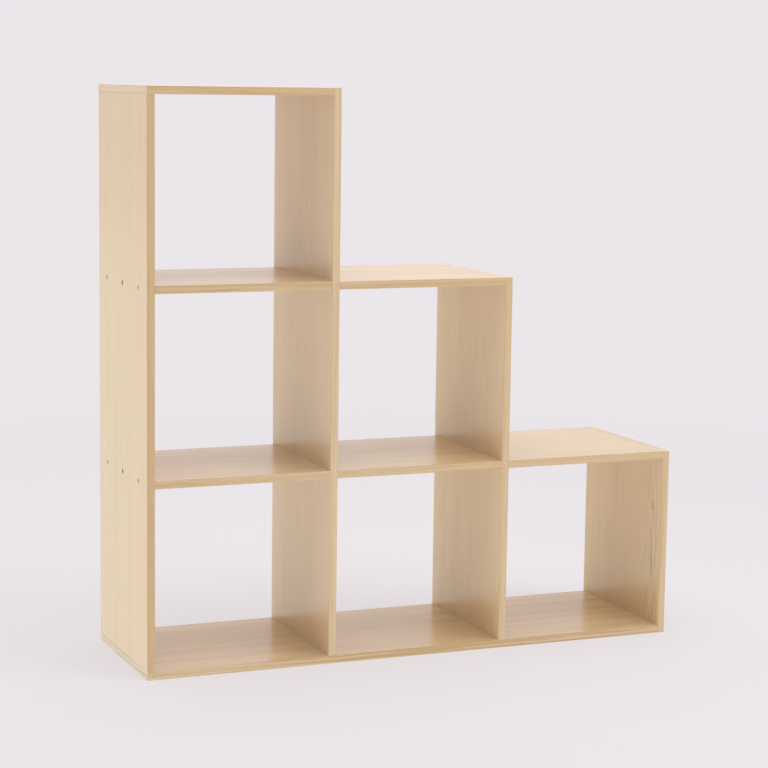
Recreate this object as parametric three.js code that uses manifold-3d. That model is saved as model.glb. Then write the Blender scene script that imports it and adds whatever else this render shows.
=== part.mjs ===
// Staircase bookshelf: three columns of open cubes, three, two and one cube high, made of
// laminated board. One-piece connector screws and fluted dowels hold every joint.
// Millimetres, +Z up. The origin is on the floor under the middle of the whole unit, and the
// front edges look along -Y.
import * as THREE from 'three';
import { mergeVertices } from 'three/addons/utils/BufferGeometryUtils.js';
import Module from 'manifold-3d';

// Carcass: the clear size of one cube, the board, and the cubes in each column
const cubeWidth = 340;
const cubeHeight = 340;
const unitDepth = 320;
const boardThickness = 15;
const columns = [
  { name: 'left', cubes: 3 },
  { name: 'middle', cubes: 2 },
  { name: 'right', cubes: 1 },
];
const uprightNames = ['left_side_panel', 'divider_tall', 'divider_middle', 'right_side_panel'];
const shelfNames = ['', 'lower', 'upper'];

// The banded long edges of a board are lightly rounded where the trimmer ran along them
const arrisRadius = 0.8;
const arrisSegments = 2;

// Fluted dowels: two in each joint, set back from the front and the back edges
const dowelDiameter = 8;
const dowelGrip = 20;
const dowelChamfer = 0.8;
const dowelSetback = 55;
const fluteDepth = 0.35;
const fluteCount = 8;
const dowelBoreSides = 10;
const blindBoreSkin = 4;
const boreEndRoom = 1;

// One-piece connector screws: one in the middle of each joint, with a countersunk head, a
// smooth shank in the carrying board and a thinner core in the end of the board it holds
const screwLength = 50;
const screwHeadDiameter = 10;
const screwHeadRim = 1;
const screwShankDiameter = 7;
const screwCoreDiameter = 5;
const screwTipDiameter = 3.4;
const screwTipLength = 5;
const shankEntry = 1;
const headSink = 0.3;
const socketAcrossFlats = 4;
const socketDepth = 3.2;
const screwSides = 16;
const drillPointAngle = THREE.MathUtils.degToRad(118);

// Room between a fastener and its bore, and how far a cut runs out of the board
const fitClearance = 0.3;
const cutOverrun = 2;

const finishes = {
  board: { color: 0xdcc09a, roughness: 0.55, metalness: 0 },
  dowel: { color: 0xcfa877, roughness: 0.7, metalness: 0 },
  screw: { color: 0xb9b7b0, roughness: 0.35, metalness: 1 },
};

// Worked out from the sizes above
const columnPitch = cubeWidth + boardThickness;
const levelPitch = cubeHeight + boardThickness;
const unitWidth = columns.length * columnPitch + boardThickness;
const middleOfBoard = boardThickness / 2;
const middleOfDepth = unitDepth / 2;
const dowelPlaces = [
  { name: 'front', y: dowelSetback },
  { name: 'back', y: unitDepth - dowelSetback },
];

const wasm = await Module();
wasm.setup();

// Solids

// A closed three.js geometry as a manifold solid. Its seams are merged, and the flat triangles
// that a revolve leaves at its poles are dropped.
function toSolid(geometry) {
  const bare = geometry.clone();
  bare.deleteAttribute('normal');
  bare.deleteAttribute('uv');
  const merged = mergeVertices(bare);
  const index = merged.getIndex().array;
  const kept = [];
  for (let i = 0; i < index.length; i += 3) {
    const [a, b, c] = [index[i], index[i + 1], index[i + 2]];
    if (a !== b && b !== c && c !== a) kept.push(a, b, c);
  }
  return new wasm.Manifold(new wasm.Mesh({
    numProp: 3,
    vertProperties: new Float32Array(merged.getAttribute('position').array),
    triVerts: new Uint32Array(kept),
  }));
}

function toGeometry(solid) {
  const mesh = solid.getMesh();
  const geometry = new THREE.BufferGeometry();
  geometry.setAttribute('position', new THREE.BufferAttribute(new Float32Array(mesh.vertProperties), 3));
  geometry.setIndex(new THREE.BufferAttribute(new Uint32Array(mesh.triVerts), 1));
  geometry.computeVertexNormals();
  return geometry;
}

// Cuts every tool out of a body
function cut(body, tools) {
  let solid = toSolid(body);
  for (const tool of tools) solid = solid.subtract(toSolid(tool));
  return toGeometry(solid);
}

// A profile of [radius, height] points, revolved about Z
function revolve(profile, sides) {
  const points = profile.map(([radius, height]) => new THREE.Vector2(radius, height));
  const upright = new THREE.Matrix4().makeBasis(
    new THREE.Vector3(1, 0, 0),
    new THREE.Vector3(0, 0, 1),
    new THREE.Vector3(0, -1, 0),
  );
  return new THREE.LatheGeometry(points, sides).applyMatrix4(upright);
}

// A corner radius that circumscribes a circle, so the flats of the facets clear it
function cornerRadius(radius, sides) {
  return radius / Math.cos(Math.PI / sides);
}

// Boards

// A rectangle with lightly rounded corners, from the origin to width, height
function boardSection(width, height) {
  const r = arrisRadius;
  const quarter = Math.PI / 2;
  const section = new THREE.Shape();
  section.absarc(width - r, r, r, -quarter, 0);
  section.absarc(width - r, height - r, r, 0, quarter);
  section.absarc(r, height - r, r, quarter, 2 * quarter);
  section.absarc(r, r, r, 2 * quarter, 3 * quarter);
  section.closePath();
  return section;
}

// A board lying along X or standing along Z, with its long edges rounded and its ends square
function boardGeometry(along, length) {
  const options = { depth: length, bevelEnabled: false, curveSegments: arrisSegments };
  if (along === 'z') return new THREE.ExtrudeGeometry(boardSection(boardThickness, unitDepth), options);
  const lying = new THREE.Matrix4().makeBasis(
    new THREE.Vector3(0, 1, 0),
    new THREE.Vector3(0, 0, 1),
    new THREE.Vector3(1, 0, 0),
  );
  const geometry = new THREE.ExtrudeGeometry(boardSection(unitDepth, boardThickness), options);
  return geometry.applyMatrix4(lying);
}

const boards = new Map();

function addBoard(name, along, start, end) {
  const length = end.getComponent(along === 'x' ? 0 : 2) - start.getComponent(along === 'x' ? 0 : 2);
  boards.set(name, { name, geometry: boardGeometry(along, length), place: start, bores: [] });
  return name;
}

const uprightX = (i) => i * columnPitch;
const levelZ = (k) => k * levelPitch;
const levelsAt = (i) => (columns[i] ? columns[i].cubes : 0);
const lastUpright = columns.length;

// The bottom panel runs under every upright but the last, which reaches the floor itself
addBoard(
  'bottom_panel',
  'x',
  new THREE.Vector3(0, 0, 0),
  new THREE.Vector3(uprightX(lastUpright), 0, 0),
);

// The left side panel stops under the top panel that laps it. Every other upright ends flush
// with the top of the column on its left.
uprightNames.forEach((name, i) => {
  const foot = i === lastUpright ? 0 : boardThickness;
  const head = i === 0 ? levelZ(levelsAt(0)) : levelZ(levelsAt(i - 1)) + boardThickness;
  addBoard(name, 'z', new THREE.Vector3(uprightX(i), 0, foot), new THREE.Vector3(uprightX(i), 0, head));
});

// The boards across each column, from its lowest shelf up to its top. The first column's top
// runs out over the left side panel.
const across = columns.map((column, i) => {
  const names = [];
  for (let k = 1; k <= column.cubes; k += 1) {
    const top = k === column.cubes;
    const left = top && i === 0 ? 0 : uprightX(i) + boardThickness;
    const name = top ? `top_panel_${column.name}` : `shelf_${column.name}_${shelfNames[k]}`;
    names[k] = addBoard(
      name,
      'x',
      new THREE.Vector3(left, 0, levelZ(k)),
      new THREE.Vector3(uprightX(i + 1), 0, levelZ(k)),
    );
  }
  return names;
});

// Dowels

const dowelRadius = dowelDiameter / 2;

// A fluted rod from z = 0 to its length, with chamfered ends. Each flute is one groove point
// between two crest points.
function dowelGeometry(length) {
  const outline = [];
  const step = 2 * Math.PI / (3 * fluteCount);
  for (let i = 0; i < 3 * fluteCount; i += 1) {
    const radius = i % 3 === 0 ? dowelRadius - fluteDepth : dowelRadius;
    outline.push(new THREE.Vector2(radius * Math.cos(i * step), radius * Math.sin(i * step)));
  }
  const geometry = new THREE.ExtrudeGeometry(new THREE.Shape(outline), {
    depth: length - 2 * dowelChamfer,
    bevelEnabled: true,
    bevelThickness: dowelChamfer,
    bevelSize: dowelChamfer,
    bevelOffset: -dowelChamfer,
    bevelSegments: 1,
  });
  return geometry.translate(0, 0, dowelChamfer);
}

// A flat-bottomed bore round a dowel, with the given room past each end
function dowelBore(length, roomBefore, roomAfter) {
  const radius = cornerRadius(dowelRadius + fitClearance, dowelBoreSides);
  return revolve([
    [0, -roomBefore],
    [radius, -roomBefore],
    [radius, length + roomAfter],
    [0, length + roomAfter],
  ], dowelBoreSides);
}

// Screws

const headRadius = screwHeadDiameter / 2;
const shankRadius = screwShankDiameter / 2;
const coreRadius = screwCoreDiameter / 2;
const rimEnd = headSink + screwHeadRim;
const coneEnd = rimEnd + headRadius - shankRadius;
const shankEnd = boardThickness + shankEntry;
const coreStart = shankEnd + shankRadius - coreRadius;
const screwEnd = headSink + screwLength;

// The screw from its head at z = headSink to its tip, with a hexagon socket in the head
function screwGeometry() {
  const body = revolve([
    [0, headSink],
    [headRadius, headSink],
    [headRadius, rimEnd],
    [shankRadius, coneEnd],
    [shankRadius, shankEnd],
    [coreRadius, coreStart],
    [coreRadius, screwEnd - screwTipLength],
    [screwTipDiameter / 2, screwEnd],
    [0, screwEnd],
  ], screwSides);
  const socketCorners = 6;
  const socketRadius = cornerRadius(socketAcrossFlats / 2, socketCorners);
  const socket = revolve([
    [0, -cutOverrun],
    [socketRadius, -cutOverrun],
    [socketRadius, headSink + socketDepth],
    [0, headSink + socketDepth],
  ], socketCorners);
  return cut(body, [socket]);
}

// The stepped bore round a screw: countersink, shank bore, pilot bore and drill point. It keeps
// the fit clearance all along, square to the cones too.
function screwBore() {
  const wider = fitClearance;
  const later = fitClearance * (Math.SQRT2 - 1);
  const pilotEnd = screwEnd + boreEndRoom;
  const pointHeight = (coreRadius + wider) / Math.tan(drillPointAngle / 2);
  return revolve([
    [0, -cutOverrun],
    [headRadius + wider, -cutOverrun],
    [headRadius + wider, rimEnd + later],
    [shankRadius + wider, coneEnd + later],
    [shankRadius + wider, shankEnd + later],
    [coreRadius + wider, coreStart + later],
    [coreRadius + wider, pilotEnd],
    [0, pilotEnd + pointHeight],
  ], screwSides);
}

// Fasteners

const fasteners = [];
const zAxis = new THREE.Vector3(0, 0, 1);

// Places a fastener with its own Z along a direction, and drills the boards that it holds
function addFastener(name, finish, geometry, bore, start, direction, held) {
  const turn = new THREE.Quaternion().setFromUnitVectors(zAxis, direction);
  fasteners.push({ name, finish, geometry, place: start, turn });
  const placed = bore.clone().applyQuaternion(turn).translate(start.x, start.y, start.z);
  for (const board of held) boards.get(board).bores.push(placed);
}

function addScrew(joint, face, direction, held) {
  const start = new THREE.Vector3(face.x, middleOfDepth, face.z);
  addFastener(`screw_${joint}`, 'screw', screwGeometry(), screwBore(), start, direction, held);
}

// Two dowels that start at a given depth past the joint's outer face
function addDowels(joint, face, direction, depth, length, roomBefore, held) {
  for (const { name, y } of dowelPlaces) {
    const start = new THREE.Vector3(face.x, y, face.z).addScaledVector(direction, depth);
    const bore = dowelBore(length, roomBefore, boreEndRoom);
    addFastener(`dowel_${joint}_${name}`, 'dowel', dowelGeometry(length), bore, start, direction, held);
  }
}

// Dowels through the carrying board, flush with its outer face, into the end of another
function throughDowels(joint, face, direction, held) {
  addDowels(joint, face, direction, 0, boardThickness + dowelGrip, cutOverrun, held);
}

// Dowels in a blind bore on the inner face of the carrying board, and in the end of another
function blindDowels(joint, face, direction, held) {
  const start = blindBoreSkin + boreEndRoom;
  addDowels(joint, face, direction, start, boardThickness - start + dowelGrip, boreEndRoom, held);
}

// Dowels right through an upright, into the ends of the boards on both sides
function crossDowels(joint, face, direction, held) {
  addDowels(joint, face, direction, -dowelGrip, boardThickness + 2 * dowelGrip, boreEndRoom, held);
}

const toRight = new THREE.Vector3(1, 0, 0);
const toLeft = new THREE.Vector3(-1, 0, 0);
const upward = new THREE.Vector3(0, 0, 1);
const downward = new THREE.Vector3(0, 0, -1);

// Where a board across a column meets an upright. The screw comes from the upright's free or
// right face into the board on its left, or from the outside of the left side panel.
uprightNames.forEach((upright, i) => {
  for (let k = 0; k < levelsAt(0) + 1; k += 1) {
    const lapped = i === 0 && k === levelsAt(0);
    const leftBoard = i > 0 && k > 0 ? across[i - 1][k] : undefined;
    const rightBoard = i < lastUpright && k > 0 && !lapped ? across[i][k] : undefined;
    const footBoard = i === lastUpright && k === 0 ? 'bottom_panel' : undefined;
    const joint = `${upright}_level_${k}`;
    const z = levelZ(k) + middleOfBoard;
    const leftFace = { x: uprightX(i), z };
    const rightFace = { x: uprightX(i) + boardThickness, z };
    const screwed = leftBoard ?? footBoard;
    if (screwed) {
      addScrew(joint, rightFace, toLeft, [upright, screwed]);
      if (rightBoard) crossDowels(joint, rightFace, toLeft, [rightBoard, upright, screwed]);
      else throughDowels(joint, rightFace, toLeft, [upright, screwed]);
    } else if (rightBoard) {
      addScrew(joint, leftFace, toRight, [upright, rightBoard]);
      throughDowels(joint, leftFace, toRight, [upright, rightBoard]);
    }
  }
});

// Where an upright stands on the bottom panel: screwed from beneath
uprightNames.slice(0, lastUpright).forEach((upright, i) => {
  const joint = `${upright}_foot`;
  const face = { x: uprightX(i) + middleOfBoard, z: 0 };
  addScrew(joint, face, upward, ['bottom_panel', upright]);
  blindDowels(joint, face, upward, ['bottom_panel', upright]);
});

// Where the left top panel laps the left side panel: screwed from above
const lappedTop = across[0][levelsAt(0)];
const lapFace = { x: middleOfBoard, z: levelZ(levelsAt(0)) + boardThickness };
addScrew('left_side_panel_head', lapFace, downward, [lappedTop, uprightNames[0]]);
blindDowels('left_side_panel_head', lapFace, downward, [lappedTop, uprightNames[0]]);

// Assembly

function newMesh(name, finish, geometry) {
  const material = new THREE.MeshStandardMaterial({ ...finishes[finish], flatShading: true });
  const mesh = new THREE.Mesh(geometry, material);
  mesh.name = name;
  return mesh;
}

const carcass = new THREE.Group();
for (const { name, geometry, place, bores } of boards.values()) {
  const tools = bores.map((bore) => bore.clone().translate(-place.x, -place.y, -place.z));
  const mesh = newMesh(name, 'board', cut(geometry, tools));
  mesh.position.copy(place);
  carcass.add(mesh);
}

const hardware = new THREE.Group();
for (const { name, finish, geometry, place, turn } of fasteners) {
  const mesh = newMesh(name, finish, geometry);
  mesh.position.copy(place);
  mesh.quaternion.copy(turn);
  hardware.add(mesh);
}

const bookshelf = new THREE.Group();
bookshelf.add(carcass, hardware);
bookshelf.position.set(-unitWidth / 2, -middleOfDepth, 0);
bookshelf.updateMatrixWorld(true);

export default bookshelf;
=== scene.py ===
# %% [markdown]
# # A staircase bookshelf in pale oak decor board
#
# Eleven boards make six open cubes in three columns, three, two and one cube high. The packed
# model gives every board, screw and dowel at its real place and size. This script dresses them:
# each board gets its decor foil, its drilled bores and its edge bands, the screws get their
# threads and the dowels their flutes.

# %% Load the frame
import math

import bmesh
import bpy
from mathutils import Matrix, Vector


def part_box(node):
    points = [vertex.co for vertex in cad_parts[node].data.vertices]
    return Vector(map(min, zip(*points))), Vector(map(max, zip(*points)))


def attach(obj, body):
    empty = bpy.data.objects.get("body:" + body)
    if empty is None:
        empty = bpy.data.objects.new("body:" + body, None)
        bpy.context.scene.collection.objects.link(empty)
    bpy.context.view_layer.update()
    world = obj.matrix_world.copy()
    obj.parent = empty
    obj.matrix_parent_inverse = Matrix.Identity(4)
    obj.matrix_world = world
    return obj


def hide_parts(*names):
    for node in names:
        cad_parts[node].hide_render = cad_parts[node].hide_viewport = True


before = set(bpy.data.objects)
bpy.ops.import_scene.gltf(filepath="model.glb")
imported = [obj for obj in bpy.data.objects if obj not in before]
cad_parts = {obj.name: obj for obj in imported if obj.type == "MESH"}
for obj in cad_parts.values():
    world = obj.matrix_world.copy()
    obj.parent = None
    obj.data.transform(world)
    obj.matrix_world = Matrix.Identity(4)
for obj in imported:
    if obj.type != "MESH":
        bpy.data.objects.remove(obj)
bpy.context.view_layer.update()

MM = 0.001
print("CAD nodes:", len(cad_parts))

# %% [markdown]
# ## Colours
#
# Colours are written as sRGB hex values, as a paint chart gives them. A render adds up light,
# so one function turns each value to linear. Nobody can read a colour from linear numbers.

# %% Colours from hex
def linear(hex_colour):
    """Linear red, green, blue and alpha of a colour such as #D6BA8D, by the sRGB curve."""
    shares = [int(hex_colour[i : i + 2], 16) / 255 for i in (1, 3, 5)]
    light = [c / 12.92 if c <= 0.04045 else ((c + 0.055) / 1.055) ** 2.4 for c in shares]
    return (*light, 1.0)


print("half grey in linear light:", round(linear("#808080")[0], 3))

# %% [markdown]
# ## One way to add a node
#
# Shapes and finishes alike come from node trees, and one small function adds every node. Its
# inputs are a list, counted from the first, or a dictionary by name or place. A node or a
# socket among them is linked, and anything else is set as that input's value. Stops fill a
# colour ramp, and the other words are the node's own properties. Each call names its kind of
# node as Blender does, so the same tree can be built by hand.

# %% Adding a node
def add_node(tree, kind, inputs=(), stops=(), **settings):
    """A new node with its properties, and with a value or a link in each input."""
    node = tree.nodes.new(kind)
    for key, value in settings.items():
        setattr(node, key, value)
    for key, value in inputs.items() if isinstance(inputs, dict) else enumerate(inputs):
        if isinstance(value, bpy.types.Node):
            value = value.outputs[0]
        if isinstance(value, bpy.types.NodeSocket):
            tree.links.new(value, node.inputs[key])
        else:
            node.inputs[key].default_value = value
    points = node.color_ramp.elements if stops else []
    while len(points) < len(stops):
        points.new(0.5)
    for point, (place, colour) in zip(points, stops):
        point.position = place
        point.color = linear(colour)
    return node


# %% [markdown]
# ## Shapes from trees
#
# What repeats on this bookshelf comes from Geometry Nodes: bores, screws, flutes and edge bands.
# Arrays and copies by hand would do, but a tree has named sizes and follows the frame wherever
# that puts an axis. It works as a modifier on a carrier mesh. Its result is kept as a plain
# mesh and the modifier goes, because an exported model drops instances.

# %% Making a tree
def new_shape_tree(name, sizes):
    """A geometry tree with its named inputs, as (tree, what enters it, what leaves it)."""
    tree = bpy.data.node_groups.new(name, "GeometryNodeTree")
    for direction in ("INPUT", "OUTPUT"):
        tree.interface.new_socket("Geometry", in_out=direction, socket_type="NodeSocketGeometry")
    for label, kind in sizes.items():
        tree.interface.new_socket(label, in_out="INPUT", socket_type="NodeSocket" + kind)
    entry = add_node(tree, "NodeGroupInput")
    leave = add_node(tree, "NodeGroupOutput")
    return tree, entry.outputs, leave.inputs


def finish_tree(tree, entry, leave, geometry):
    """Instances become real faces, and they get their finish."""
    real = add_node(tree, "GeometryNodeRealizeInstances", [geometry])
    finish = {"Geometry": real, "Material": entry["Material"]}
    painted = add_node(tree, "GeometryNodeSetMaterial", finish)
    tree.links.new(painted.outputs[0], leave["Geometry"])
    print(f"{tree.name}: {len(tree.nodes)} nodes")


# %% Running a tree and keeping its mesh
def run_tree(name, tree, mesh, values):
    """Puts the tree on a mesh, keeps what it makes as a plain mesh, and drops the modifier."""
    carrier = bpy.data.objects.new(name, mesh)
    bpy.context.scene.collection.objects.link(carrier)
    modifier = carrier.modifiers.new(tree.name, "NODES")
    modifier.node_group = tree
    sockets = {s.name: s.identifier for s in tree.interface.items_tree if s.in_out == "INPUT"}
    for label, value in values.items():
        modifier[sockets[label]] = value
    graph = bpy.context.evaluated_depsgraph_get()
    made = bpy.data.meshes.new_from_object(
        carrier.evaluated_get(graph), preserve_all_data_layers=True, depsgraph=graph
    )
    carrier.modifiers.remove(modifier)
    carrier.data = made
    made.name = name
    return carrier


# %% [markdown]
# A swept or cut shell can come out with doubled points or inside out, and then it shades wrong.
# One helper mends both, and keeps an edge sharp only where its faces meet at more than 35
# degrees, so that a round looks round and an arris crisp.

# %% Facing a shell outwards
SMOOTH_UP_TO = math.radians(35)
MERGE_WITHIN = 0.001 * MM


def face_outwards(mesh, merge=True):
    """Merges doubles, turns an inside-out shell round, and keeps only sharp edges sharp."""
    shell = bmesh.new()
    shell.from_mesh(mesh)
    if merge:
        bmesh.ops.remove_doubles(shell, verts=shell.verts, dist=MERGE_WITHIN)
    if shell.calc_volume(signed=True) < 0:
        bmesh.ops.reverse_faces(shell, faces=shell.faces)
    open_edges = sum(1 for e in shell.edges if not e.is_manifold)
    volume = shell.calc_volume(signed=True) / MM**3
    shell.to_mesh(mesh)
    shell.free()
    mesh.shade_smooth()
    mesh.set_sharp_from_angle(angle=SMOOTH_UP_TO)
    print(f"{mesh.name}: {len(mesh.polygons)} faces, {volume:.0f} mm3, {open_edges} open edges")


# %% [markdown]
# ## The decor foil
#
# The boards are laminated particle board. Their broad faces carry decor foil: paper printed with
# a picture of pale oak, soaked in melamine resin and pressed on hot. The print has soft bands a
# few centimetres wide, growth lines a few millimetres apart, and now and then a dark streak. A
# picture of real veneer could be wrapped on, but noise drawn out along the grain fits a board of
# any size and looks the same at this distance. Each piece has a UV map named grain, in metres
# along and across its length, so that one finish serves every board.

# %% Streaks along the grain
GRAIN_MAP = "grain"


def streaks(tree, lines, length_mm, width_mm, detail):
    """Noise drawn out along the grain: each streak is about this long and this wide."""
    per_metre = (1 / (length_mm * MM), 1 / (width_mm * MM), 0.0)
    stretched = add_node(tree, "ShaderNodeVectorMath", [lines, per_metre], operation="MULTIPLY")
    return add_node(tree, "ShaderNodeTexNoise", {"Vector": stretched, "Scale": 1.0, "Detail": detail})


# %% [markdown]
# In a real log the lines wander slowly over its length, waver in flames along the heart, and
# part round a knot. So the place where the noise is read is shifted sideways first, by slower
# noise. Spots, which are 1 in the middle and fade out, keep the marks of the one knot in place.

# %% Drifts and spots
# The knot's place in the print, in metres along and across, far from where other boards read it.
KNOT_AT = Vector((40.0, 40.0))


def drift(tree, chart, waves_per_metre, reach_mm):
    """A slow sideways shift of the lines, up to about its reach to each side."""
    waves = (*waves_per_metre, 0.0)
    slow = add_node(tree, "ShaderNodeVectorMath", [chart, waves], operation="MULTIPLY")
    noise = add_node(tree, "ShaderNodeTexNoise", {"Vector": slow, "Scale": 1.0, "Detail": 2.0})
    centred = add_node(tree, "ShaderNodeMath", [noise, 0.5], operation="SUBTRACT")
    return add_node(tree, "ShaderNodeMath", [centred, 2 * reach_mm * MM], operation="MULTIPLY")


def spot(tree, chart, from_knot_mm, reach_mm):
    """1 at a place by the knot, fading out past its reach along and across the grain."""
    middle = [knot + offset * MM for knot, offset in zip(KNOT_AT, from_knot_mm)] + [0.0]
    reach = [reach_mm[0] * MM, reach_mm[1] * MM, 1.0]
    away = add_node(tree, "ShaderNodeVectorMath", [chart, middle], operation="SUBTRACT")
    scaled = add_node(tree, "ShaderNodeVectorMath", [away, reach], operation="DIVIDE")
    square = add_node(tree, "ShaderNodeVectorMath", [scaled, scaled], operation="DOT_PRODUCT")
    minus = add_node(tree, "ShaderNodeMath", [square.outputs["Value"], -1.0], operation="MULTIPLY")
    return add_node(tree, "ShaderNodeMath", [minus], operation="EXPONENT")


# %% Where the lines run
# One wander takes 385 mm along the grain and 111 mm across it, and one flame 71 mm by 42 mm.
WANDER_PER_METRE = (2.6, 9.0)
WANDER_MM = 9.0
FLAME_PER_METRE = (14.0, 24.0)
FLAME_MM = 7.0
# The heart shows in zones 1.25 m long and 143 mm wide, where this noise is in its upper part.
HEART_PER_METRE = (0.8, 7.0)
HEART_SPAN = (0.50, 0.64)
# Round the knot the lines wave every 53 mm, in a zone 70 mm wide that reaches down from it.
KNOT_WAVE_PER_METRE = (19.0, 26.0)
KNOT_WAVE_MM = 9.0
KNOT_ZONE_MM = ((-130.0, 2.0), (190.0, 34.0))
KNOT_SWIRL_MM = (16.0, 10.0)
KNOT_PARTING = 0.9


def lines_of_growth(tree, chart):
    """The chart with lines that wander, waver along the heart and part round the knot."""
    wander = drift(tree, chart, WANDER_PER_METRE, WANDER_MM)
    flame = drift(tree, chart, FLAME_PER_METRE, FLAME_MM)
    zones = (*HEART_PER_METRE, 0.0)
    slow = add_node(tree, "ShaderNodeVectorMath", [chart, zones], operation="MULTIPLY")
    heart = add_node(tree, "ShaderNodeTexNoise", {"Vector": slow, "Scale": 1.0, "Detail": 0.0})
    near_heart = add_node(tree, "ShaderNodeMapRange", [heart, *HEART_SPAN, 0.0, 1.0])
    sideways = add_node(tree, "ShaderNodeMath", [flame, near_heart, wander], operation="MULTIPLY_ADD")
    waves = drift(tree, chart, KNOT_WAVE_PER_METRE, KNOT_WAVE_MM)
    near_knot = spot(tree, chart, *KNOT_ZONE_MM)
    bent = add_node(tree, "ShaderNodeMath", [waves, near_knot, sideways], operation="MULTIPLY_ADD")
    shift = add_node(tree, "ShaderNodeCombineXYZ", {"Y": bent})
    knot = (*KNOT_AT, 0.0)
    from_knot = add_node(tree, "ShaderNodeVectorMath", [chart, knot], operation="SUBTRACT")
    ring = {0: from_knot, "Scale": spot(tree, chart, (0, 0), KNOT_SWIRL_MM)}
    parting = add_node(tree, "ShaderNodeVectorMath", ring, operation="SCALE")
    pushes = [parting, (0, -KNOT_PARTING, 0), shift]
    pushed = add_node(tree, "ShaderNodeVectorMath", pushes, operation="MULTIPLY_ADD")
    return add_node(tree, "ShaderNodeVectorMath", [chart, pushed], operation="ADD")


# %% The knot's own marks
# A core of 10 mm by 5 mm, brown curls 7 mm wide round it, and a streak 5 mm wide below it.
KNOT_BROWN = "#8E6E46"
KNOT_CURL_MM = (60.0, 7.0)
KNOT_CORE_MM = (5.0, 2.6)
KNOT_STREAK_MM = ((-90.0, 2.5), (60.0, 2.4))
CURL_SPAN = (0.48, 0.66)
CURL_SHARE = 0.42
CORE_SHARE = 0.6
KNOT_STREAK_SHARE = 0.3


def knot_marks(tree, chart, lines):
    """(share, tint) of the knot's curls, its core and its streak."""
    curls = streaks(tree, lines, *KNOT_CURL_MM, 1.0)
    curl = add_node(tree, "ShaderNodeMapRange", [curls, *CURL_SPAN, 0.0, CURL_SHARE])
    kept = [
        (curl, spot(tree, chart, *KNOT_ZONE_MM)),
        (CORE_SHARE, spot(tree, chart, (0, 0), KNOT_CORE_MM)),
        (KNOT_STREAK_SHARE, spot(tree, lines, *KNOT_STREAK_MM)),
    ]
    return [(add_node(tree, "ShaderNodeMath", pair, operation="MULTIPLY"), KNOT_BROWN) for pair in kept]


# %% [markdown]
# Colour comes in layers: first the soft tones, then the growth lines, the streaks and the knot.
# Late wood is dark and dense, so the growth lines are stronger where the tone is dark. No two
# boards come from one place in the print, and some are plainer. So every face carries two
# attributes: its middle tone, from 0 for dark to 1 for pale, and its figure, which says how far
# tones and lines stand out.

# %% The print's colours
MIDDLE_TONE = "middle_tone"
FIGURE = "figure"
TONE_LENGTH_MM = 850.0
GROWTH_LENGTH_MM = 420.0
STREAK_MM = (120.0, 3.2)
# Most of a noise's values lie in its middle. A narrower or higher span leaves thinner marks.
NOISE_SPAN = (0.35, 0.65)
GROWTH_SPAN = (0.44, 0.70)
STREAK_SPAN = (0.62, 0.76)
IN_DARK = 1.6
IN_PALE = 0.4


def paint_print(tree, chart, lines, tone, look):
    """The colour of the print, from its tones and the marks over them."""
    middle = add_node(tree, "ShaderNodeAttribute", attribute_name=MIDDLE_TONE).outputs["Fac"]
    figure = add_node(tree, "ShaderNodeAttribute", attribute_name=FIGURE).outputs["Fac"]
    swing = add_node(tree, "ShaderNodeMath", [tone, 0.5], operation="SUBTRACT")
    toned = add_node(tree, "ShaderNodeMath", [swing, figure, middle], operation="MULTIPLY_ADD")
    paint = add_node(tree, "ShaderNodeValToRGB", [toned], stops=look["tones"])
    growth = streaks(tree, lines, GROWTH_LENGTH_MM, look["growth_mm"], 2.0)
    line = add_node(tree, "ShaderNodeMapRange", [growth, *GROWTH_SPAN, 0.0, 1.0])
    shares = (IN_DARK * look["growth_share"], IN_PALE * look["growth_share"])
    late = add_node(tree, "ShaderNodeMapRange", [tone, *NOISE_SPAN, *shares])
    printed = add_node(tree, "ShaderNodeMath", [line, late], operation="MULTIPLY")
    figured = add_node(tree, "ShaderNodeMath", [printed, figure], operation="MULTIPLY")
    dashes = streaks(tree, lines, *STREAK_MM, 1.0)
    dash = add_node(tree, "ShaderNodeMapRange", [dashes, *STREAK_SPAN, 0.0, look["streak_share"]])
    marks = [(figured, look["growth_tint"]), (dash, look["streak_tint"])]
    for share, tint in marks + knot_marks(tree, chart, lines):
        layer = add_node(tree, "ShaderNodeMix", {0: share, 6: paint, 7: linear(tint)}, data_type="RGBA")
        paint = layer.outputs[2]
    return paint


# %% [markdown]
# Melamine resin has an IOR near 1.55, and a thin clear layer of it lies over the print. The
# press plate leaves it satin: no lamp has a sharp edge in it, but a face turns paler where it is
# seen at a slant. Its relief follows the pores of oak. Real ones are 0.1 to 0.3 mm wide, too
# fine to show, so they are drawn 1.7 mm wide, and only 0.03 mm deep.

# %% Starting a material
def new_finish(name):
    """A material with an empty tree."""
    material = bpy.data.materials.new(name)
    material.use_nodes = True
    material.node_tree.nodes.clear()
    return material, material.node_tree


# %% One finish for both prints
RESIN_IOR = 1.55
CLEAR_IOR = 1.5
CLEAR_WEIGHT = 0.3
GLOSS_SWING = 0.02
PORE_MM = (26.0, 1.7)
PORE_SPAN = (0.56, 0.70)
PORE_DEPTH_MM = 0.03
PORE_STRENGTH = 0.4


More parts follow.
